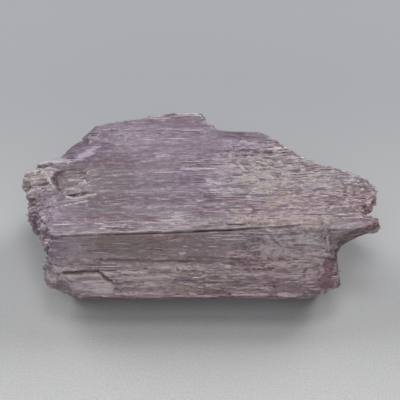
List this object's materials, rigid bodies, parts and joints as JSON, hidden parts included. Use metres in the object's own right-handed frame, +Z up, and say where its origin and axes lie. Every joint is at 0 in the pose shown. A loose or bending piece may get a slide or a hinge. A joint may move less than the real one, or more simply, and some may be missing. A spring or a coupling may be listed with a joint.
{
  "type": "kunzite crystal",
  "caption": "Tabular lilac kunzite crystal with lengthwise striations and broken, splintery ends, lying on its broad face.",
  "frame": {"origin": "centre of the bounding box, on the flat face that the crystal rests on", "axes": "+X along the crystal's c axis and its striations, towards the end with the pointed tip and notch; +Y from the low front edge to the back; +Z up through the broad upper face"},
  "size_m": [0.089, 0.052, 0.0223],
  "materials": {
    "kunzite": "translucent lilac spodumene, striated and etched, with cream clay in its cracks"
  },
  "bodies": {
    "root": {"kunzite_crystal": "kunzite"}
  },
  "joints": []
}
